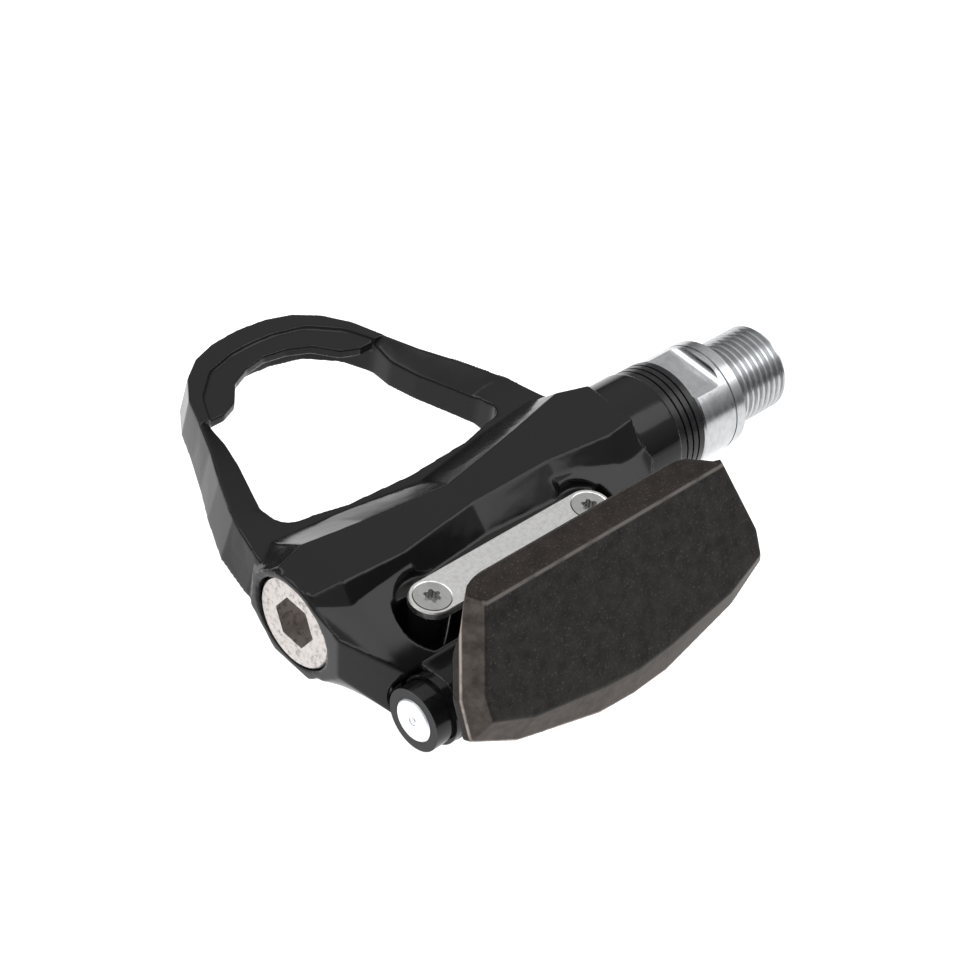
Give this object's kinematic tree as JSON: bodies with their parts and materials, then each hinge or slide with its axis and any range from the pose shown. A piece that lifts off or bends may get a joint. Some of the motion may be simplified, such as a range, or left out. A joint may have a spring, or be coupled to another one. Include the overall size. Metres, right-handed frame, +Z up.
{
  "type": "clipless bicycle pedal",
  "caption": "Left-hand clipless road bicycle pedal with open front loop, sprung rear binding, wear plate and threaded steel spindle on sealed bearings.",
  "frame": {"origin": "on the spindle axis at the shoulder that seats against the crank arm", "axes": "+X along the spindle towards the crank, +Y towards the toe, +Z up out of the cleat side"},
  "size_m": [0.0996, 0.0882, 0.0308],
  "materials": {
    "body_paint": "gloss black paint on cast aluminium",
    "sleeve_black": "gloss black anodised sleeve",
    "wear_steel": "brushed stainless with light scuffs",
    "screw_steel": "bright turned stainless",
    "spindle_steel": "bright machined steel",
    "bearing_steel": "polished bearing steel",
    "cage_polymer": "dark green polymer",
    "seal_rubber": "matte black rubber",
    "cap_alloy": "bright turned aluminium with scuffs",
    "binding_polymer": "moulded dark grey-brown polymer, fine grain",
    "bush_polymer": "semi-gloss black polymer",
    "pin_zinc": "bright zinc-plated steel",
    "spring_steel": "oiled spring steel"
  },
  "bodies": {
    "spindle": {"spindle": "spindle_steel", "bearing_inner_rings": "bearing_steel", "bearing_spacer": "bearing_steel", "spindle_washer": "spindle_steel", "spindle_nut": "spindle_steel"},
    "platform": {"pedal_body": "body_paint", "wear_plate": "wear_steel", "wear_plate_screws": "screw_steel", "lock_sleeve": "sleeve_black", "spindle_seal": "seal_rubber", "needle_shell": "bearing_steel", "bearing_outer_rings": "bearing_steel", "end_cap": "cap_alloy", "end_cap_oring": "seal_rubber", "pivot_pin": "pin_zinc", "pivot_clip": "spring_steel", "pivot_bushes": "bush_polymer"},
    "needle_set": {"needle_rollers": "bearing_steel", "needle_cage": "cage_polymer"},
    "ball_set": {"bearing_balls": "bearing_steel", "bearing_cages": "cage_polymer"},
    "binding": {"rear_binding": "binding_polymer", "spring_sleeve": "bush_polymer", "torsion_springs": "spring_steel"},
    "tension_screw": {"tension_screw": "screw_steel"},
    "tension_nut": {"tension_nut": "screw_steel"}
  },
  "joints": [
    {"name": "pedal_spin", "type": "hinge", "parent": "spindle", "child": "platform", "pos_m": [0, 0, 0], "axis": [1, 0, 0], "continuous": true},
    {"name": "needle_set_spin", "type": "hinge", "parent": "spindle", "child": "needle_set", "pos_m": [0, 0, 0], "axis": [1, 0, 0], "continuous": true},
    {"name": "ball_set_spin", "type": "hinge", "parent": "spindle", "child": "ball_set", "pos_m": [0, 0, 0], "axis": [1, 0, 0], "continuous": true},
    {"name": "binding_pivot", "type": "hinge", "parent": "platform", "child": "binding", "pos_m": [-0.0553, -0.0215, -0.0037], "axis": [1, 0, 0], "range_deg": [0, 18], "stiffness_Nm_per_rad": 12, "springref_deg": -28.65, "deforming": ["torsion_springs"]},
    {"name": "tension_screw_turn", "type": "hinge", "parent": "binding", "child": "tension_screw", "pos_m": [-0.0553, -0.0302, -0.0057], "axis": [0, 0, 1], "range_deg": [0, 1080]},
    {"name": "tension_nut_travel", "type": "slide", "parent": "binding", "child": "tension_nut", "axis": [0, 0, -1], "range_m": [0, 0.0021]}
  ],
  "couplings": [
    {"joint": "needle_set_spin", "follows": "pedal_spin", "ratio": 0.5701},
    {"joint": "ball_set_spin", "follows": "pedal_spin", "ratio": 0.6263},
    {"joint": "tension_screw_turn", "follows": "tension_nut_travel", "rad_per_m": 8976}
  ]
}
